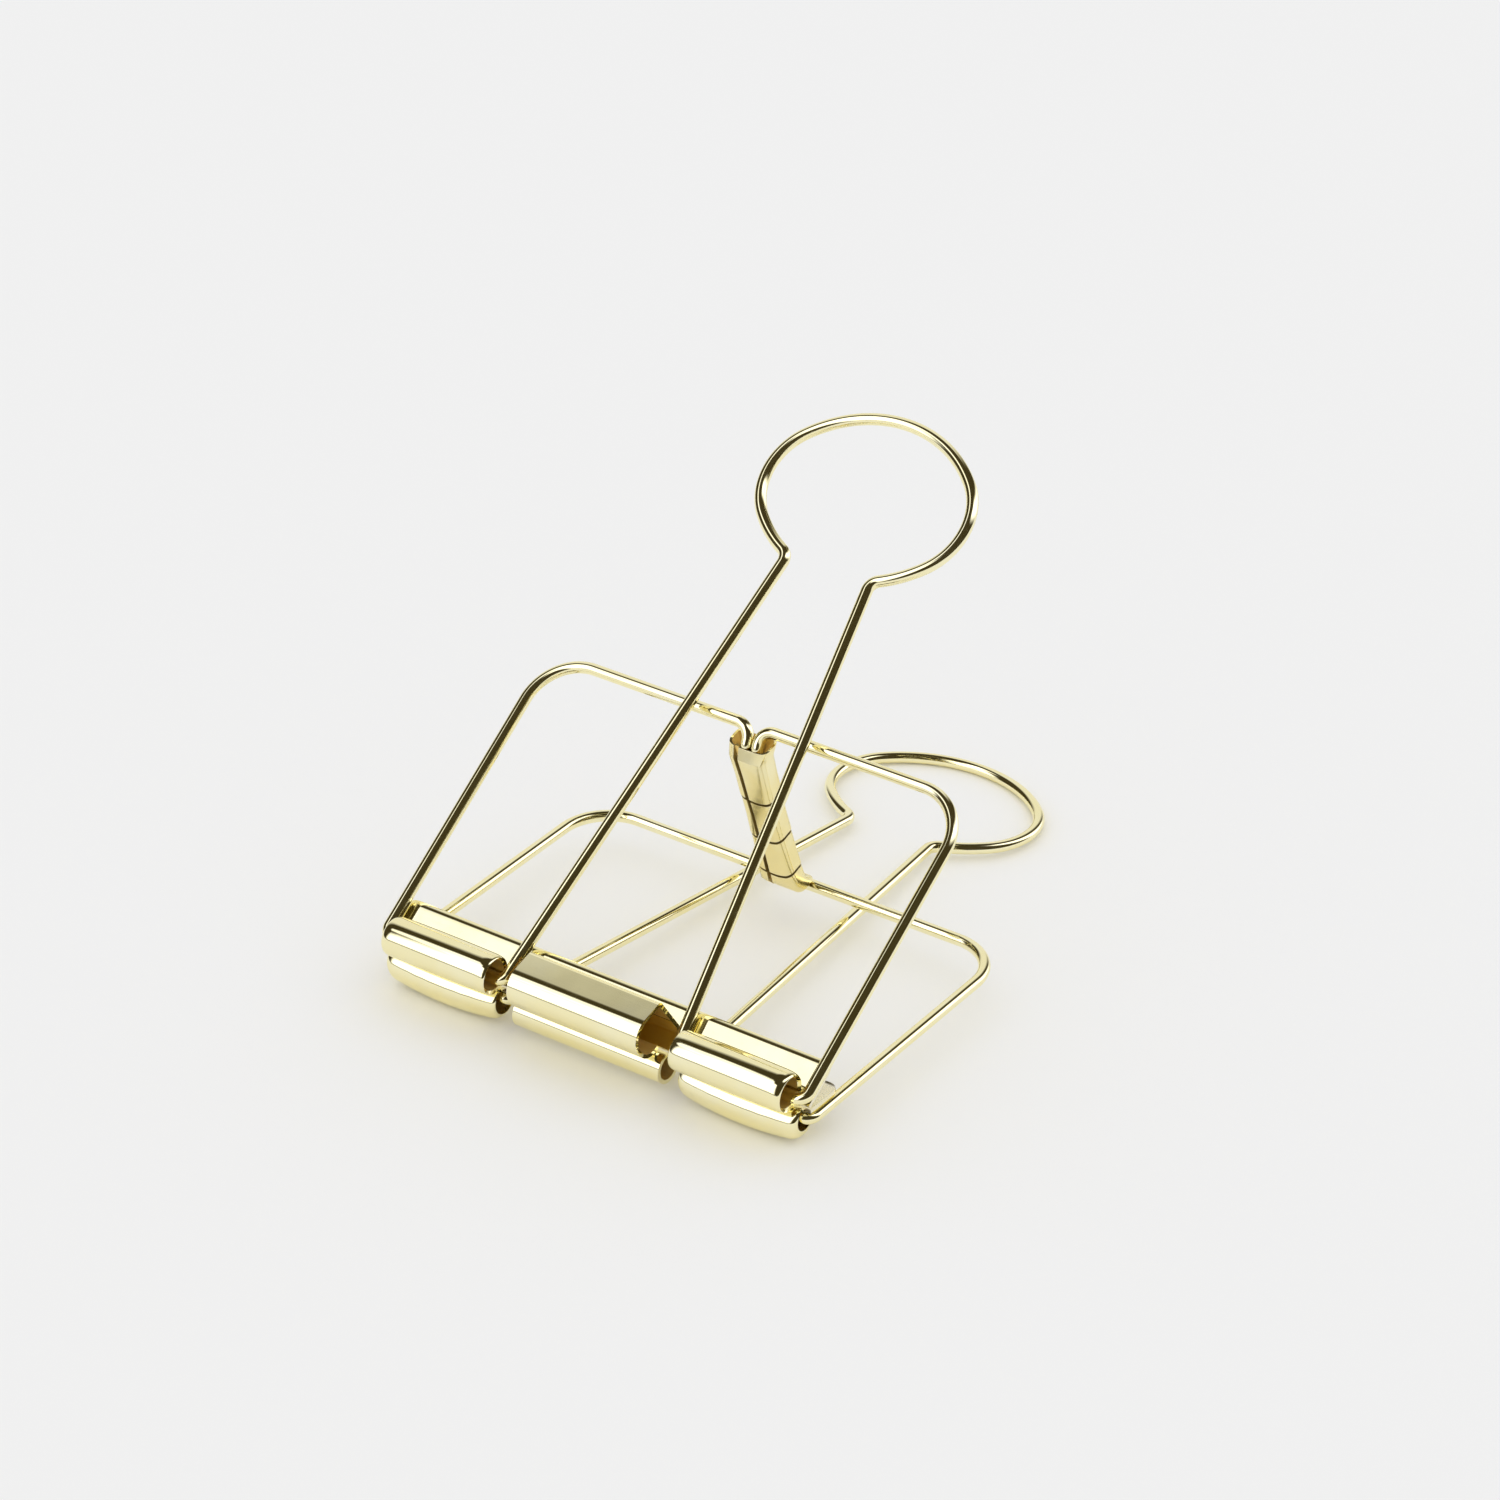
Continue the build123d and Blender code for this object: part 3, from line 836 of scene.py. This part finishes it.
def clasp_piece(name):
    """Folded sleeve round both wires: collars, bands with sagging edges, a seam and an open bore."""
    top = clasp_end - clasp_collar_length
    # each ring: level, half width, half depth, sag
    outer = [(clasp_end, sleeve_width(clasp_end) + clasp_collar_flare, clasp_half_depth, clasp_top_sag),
             (top, sleeve_width(top), clasp_half_depth, clasp_collar_sag)]
    grooves = []
    for place in clasp_band_ends:
        low = clasp_end - place
        middle = (top + low) / 2
        outer.append((middle, sleeve_width(middle), clasp_half_depth, clasp_band_sag / 2))
        wide = sleeve_width(low)
        outer.append((low, wide + clasp_band_flare, clasp_half_depth + clasp_band_flare, clasp_band_sag))
        grooves += [len(outer) - 1, len(outer), len(outer) + 1]
        sunk = (wide - clasp_groove_depth, clasp_half_depth - clasp_groove_depth, clasp_band_sag)
        top = low - clasp_groove_width
        outer += [(low, *sunk), (top, *sunk), (top, wide, clasp_half_depth, clasp_band_sag)]
    outer.append((-clasp_end + clasp_collar_length, sleeve_width(clasp_end), clasp_half_depth,
                  clasp_low_sag))
    outer.append((-clasp_end, sleeve_width(clasp_end) + clasp_collar_flare,
                  clasp_half_depth + clasp_collar_flare, 0.0))
    rings = [clasp_ring(level, width, depth, sag, clasp_seam_depth) for level, width, depth, sag in outer]
    mouth = clasp_end - clasp_collar_length
    lip = (clasp_half_width - clasp_lip_width, clasp_half_depth - clasp_lip_depth)
    bore = (clasp_hole_half_width, clasp_hole_half_depth)
    wide_bore = (clasp_hole_half_width, clasp_mouth_half_depth)
    inner = [(-clasp_end, *lip, 0.0), (-mouth, *wide_bore, 0.0),
             (-mouth + clasp_mouth_slope, *bore, 0.0), (mouth - clasp_mouth_slope, *bore, 0.0),
             (mouth, *wide_bore, 0.0), (clasp_end, *lip, clasp_top_sag)]
    rings += [clasp_ring(level, width, depth, sag) for level, width, depth, sag in inner]
    bm = bmesh.new()
    rows = [[bm.verts.new(point * MM) for point in ring] for ring in rings]
    count = len(rows[0])
    seam_start = count - seam_points - (front_steps - 1)
    seam_steps = range(seam_start, seam_start + seam_points - 1)
    for place, row in enumerate(rows):
        following = rows[(place + 1) % len(rows)]
        for step in range(count):
            side = (step + 1) % count
            face = bm.faces.new((row[step], following[step], following[side], row[side]))
            face.smooth = True
            # the bore takes the painted shade of the inside
            if len(outer) <= place < len(rows) - 1:
                face.material_index = 1
            # the grooves under the bands and the seam take a darker painted shade
            elif place in grooves or step in seam_steps:
                face.material_index = 2
    bmesh.ops.recalc_face_normals(bm, faces=bm.faces)
    made = sheet_draft(name, bm, (clasp_finish, shaded_inside_finish, shaded_fold_finish))
    round_edges(made, clasp_edge_round, 2, 35)
    return finished(made, name)


clasp = clasp_piece("spine_clasp_folded")
place_piece(clasp, "spine", "folded_sheet", "spine_clasp")

# ---- floor ----

pale = (0.875, 0.875, 0.875, 1.0)
floor_reach = 3000

floor_material = bpy.data.materials.new("Pale floor")
floor_material.use_nodes = True
floor_shader = next(n for n in floor_material.node_tree.nodes if n.type == "BSDF_PRINCIPLED")
floor_shader.inputs["Base Color"].default_value = pale
floor_shader.inputs["Roughness"].default_value = 0.9
floor_shader.inputs["Specular IOR Level"].default_value = 0.0
corners = [(x * floor_reach, y * floor_reach, 0) for x, y in ((-1, -1), (1, -1), (1, 1), (-1, 1))]
floor = linked_mesh("floor", corners, [], [(0, 1, 2, 3)])
floor.name = "floor"
floor.data.materials.append(floor_material)

# ---- studio light ----


def card_group():
    """Soft-edged card of light or dark, placed by its direction from the object, in degrees."""
    inputs = [(name, "NodeSocketFloat", value) for name, value in (
        ("Azimuth", 0.0), ("Elevation", 0.0), ("Centre", 0.0), ("Half Width", 30.0), ("Low", 0.0),
        ("High", 50.0), ("Softness", 12.0), ("Lean", 0.0))]
    tree, start, end = new_group("Light card", "ShaderNodeTree", inputs, [("Mask", "NodeSocketFloat")])
    leaning = math_node(tree, "MULTIPLY", start.outputs["Elevation"], start.outputs["Lean"])
    centre = math_node(tree, "ADD", start.outputs["Centre"], leaning)
    apart = math_node(tree, "SUBTRACT", start.outputs["Azimuth"], centre)
    turned = math_node(tree, "WRAP", apart, 180.0, -180.0)
    off = math_node(tree, "ABSOLUTE", turned)
    inner = math_node(tree, "SUBTRACT", start.outputs["Half Width"], start.outputs["Softness"])
    outer = math_node(tree, "ADD", start.outputs["Half Width"], start.outputs["Softness"])
    wide = smooth_between(tree, off, inner, outer, 1.0, 0.0)
    low_edge = math_node(tree, "SUBTRACT", start.outputs["Low"], start.outputs["Softness"])
    above = smooth_between(tree, start.outputs["Elevation"], low_edge, start.outputs["Low"])
    high_edge = math_node(tree, "ADD", start.outputs["High"], start.outputs["Softness"])
    below = smooth_between(tree, start.outputs["Elevation"], start.outputs["High"], high_edge, 1.0, 0.0)
    mask = math_node(tree, "MULTIPLY", math_node(tree, "MULTIPLY", wide, above), below)
    link(tree, mask, end.inputs["Mask"])
    return tree


light_card = card_group()
front_azimuth = 35.2            # the direction that the cards' places are counted from
unlit_room = (0.046, 0.036, 0.014)

world = bpy.data.worlds.new("Studio")
bpy.context.scene.world = world
world.use_nodes = True
room = world.node_tree
room.nodes.clear()
direction = room.nodes.new("ShaderNodeTexCoord").outputs["Generated"]
axes = room.nodes.new("ShaderNodeSeparateXYZ")
link(room, direction, axes.inputs["Vector"])
forward = math_node(room, "MULTIPLY", axes.outputs["Y"], -1.0)
azimuth = math_node(room, "DEGREES", math_node(room, "ARCTAN2", axes.outputs["X"], forward))
azimuth = math_node(room, "SUBTRACT", azimuth, front_azimuth)
elevation = math_node(room, "DEGREES", math_node(room, "ARCSINE", axes.outputs["Z"]))

# each card: centre, half width, low, high, softness, lean, colour of its light
cards = (
    (-60.0, 22.0, 8.0, 50.0, 7.0, 0.0, (1.75, 1.78, 1.9)),          # left window
    (-86.0, 17.0, 46.0, 57.0, 5.0, 0.0, (1.3, 1.32, 1.4)),          # its upper corner
    (122.0, 20.0, -20.0, 62.0, 12.0, -0.85, (1.8, 1.8, 1.9)),       # right window, leaning forward
    (-176.0, 33.0, -20.0, 50.0, 11.0, 0.0, (0.8, 0.8, 0.78)),       # pale sweep behind
    (-75.0, 50.0, -30.0, -2.0, 5.0, 0.0, (0.8, 0.8, 0.8)),          # pale wall at the left
)
reflected = unlit_room
for centre, half_width, low, high, softness, lean, light in cards:
    card = use_group(room, light_card, Azimuth=azimuth, Elevation=elevation, Centre=centre,
                     Half_Width=half_width, Low=low, High=high, Softness=softness, Lean=lean)
    glow = vector_node(room, "SCALE", light, scale=card.outputs["Mask"])
    reflected = vector_node(room, "ADD", reflected, glow)


def background(color):
    node = room.nodes.new("ShaderNodeBackground")
    if isinstance(color, tuple):
        node.inputs["Color"].default_value = color
    else:
        link(room, color, node.inputs["Color"])
    return node.outputs["Background"]


def either(choice, no, yes):
    """One of two lights, by a choice that is 0 or 1."""
    node = room.nodes.new("ShaderNodeMixShader")
    for place, source in enumerate((choice, no, yes)):
        link(room, source, node.inputs[place])
    return node.outputs["Shader"]


path_kind = room.nodes.new("ShaderNodeLightPath")
seen = background(pale)
fill = background((1.0, 1.0, 1.0, 1.0))
mirrored = background(reflected)
# light that the gold throws on the floor: warm, and as strong as the windows are
thrown = background((1.9, 1.75, 1.2, 1.0))
undiffused = math_node(room, "LESS_THAN", path_kind.outputs["Diffuse Depth"], 0.5)
by_bounce = either(undiffused, thrown, mirrored)
by_gloss = either(path_kind.outputs["Is Glossy Ray"], fill, by_bounce)
by_camera = either(path_kind.outputs["Is Camera Ray"], by_gloss, seen)
out = room.nodes.new("ShaderNodeOutputWorld")
link(room, by_camera, out.inputs["Surface"])

# ---- camera ----

bpy.context.scene.view_settings.view_transform = "Standard"
camera_data = bpy.data.cameras.new("camera")
camera_data.lens = 120.0
camera_data.sensor_width = 36.0
camera = bpy.data.objects.new("camera", camera_data)
camera.location = Vector((242.7, -344.1, 260.7)) * MM
camera.rotation_euler = (radians(60.153), radians(-0.03), radians(35.726))
bpy.context.scene.collection.objects.link(camera)
bpy.context.scene.camera = camera
